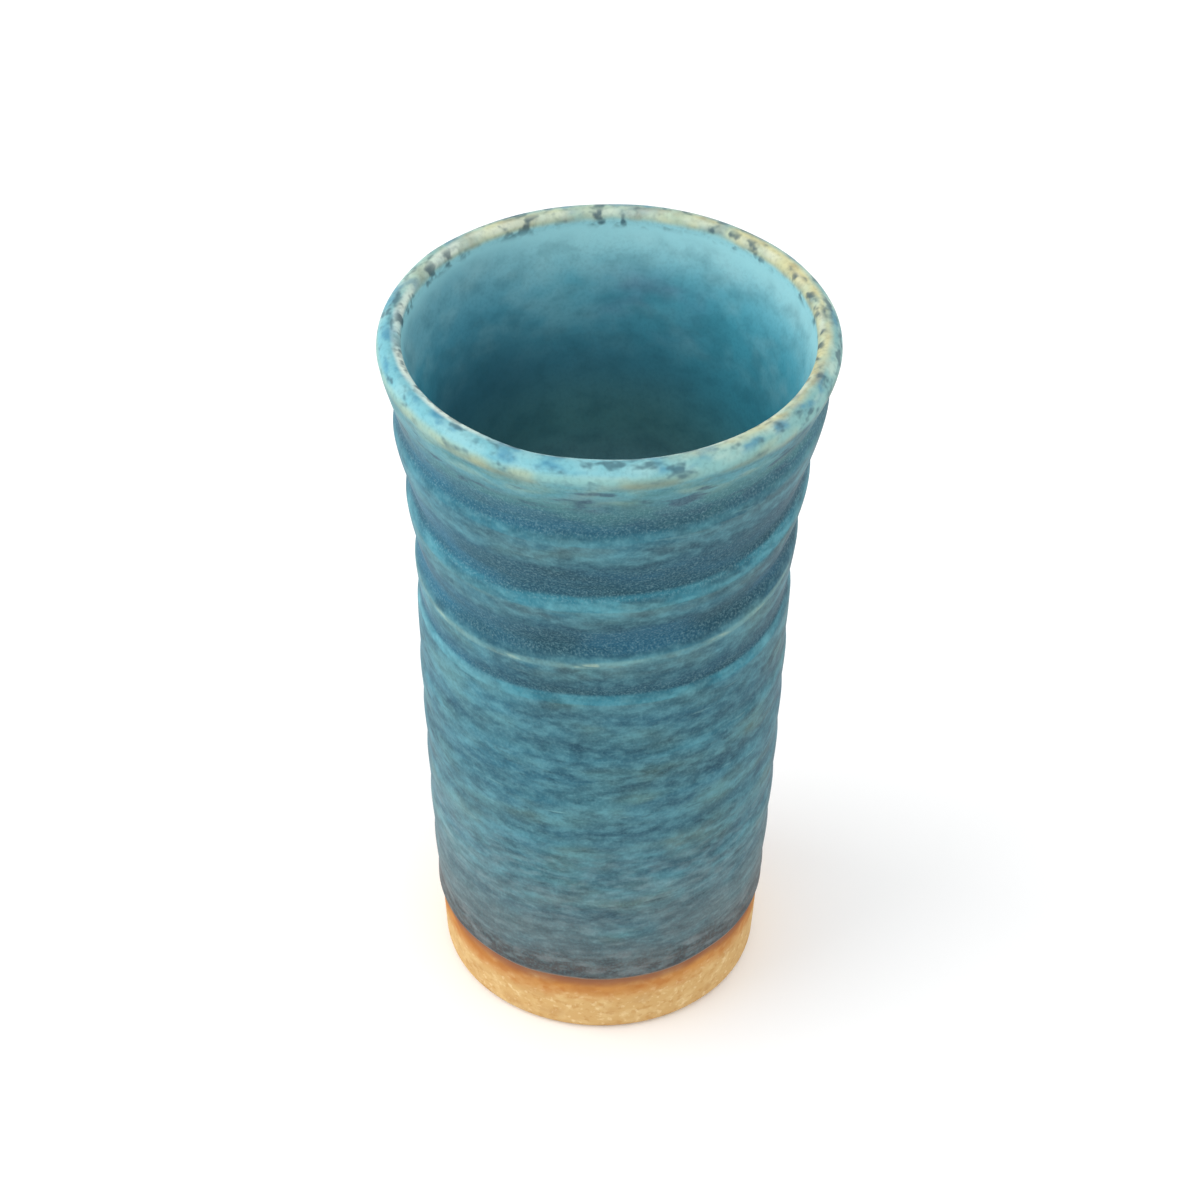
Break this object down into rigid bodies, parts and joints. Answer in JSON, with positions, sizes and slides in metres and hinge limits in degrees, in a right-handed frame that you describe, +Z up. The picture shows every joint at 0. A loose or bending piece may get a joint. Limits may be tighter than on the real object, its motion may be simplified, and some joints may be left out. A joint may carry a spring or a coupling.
{
  "type": "sake cup",
  "caption": "Tall hand-thrown stoneware cup with a spiral throwing ridge, a flared rounded lip, turquoise glaze inside and out and a bare clay foot, for drinking sake.",
  "frame": {"origin": "centre of the foot ring, in the plane that stands on the table", "axes": "+Z up along the cup's axis to the lip; -Y is the side that the picture shows, +X to its right"},
  "size_m": [0.064, 0.064, 0.114],
  "materials": {
    "stoneware": "bare sandy ochre clay, matt, flashed orange at the glaze line",
    "outer_glaze": "satin turquoise glaze, slate blue in the grooves, straw on the crests",
    "lip_glaze": "satin pale mint glaze with straw edges and iron spots",
    "liner_glaze": "smooth satin turquoise glaze"
  },
  "bodies": {
    "root": {"stoneware_body": "stoneware", "outer_glaze": "outer_glaze", "lip_glaze": "lip_glaze", "liner_glaze": "liner_glaze"}
  },
  "joints": []
}
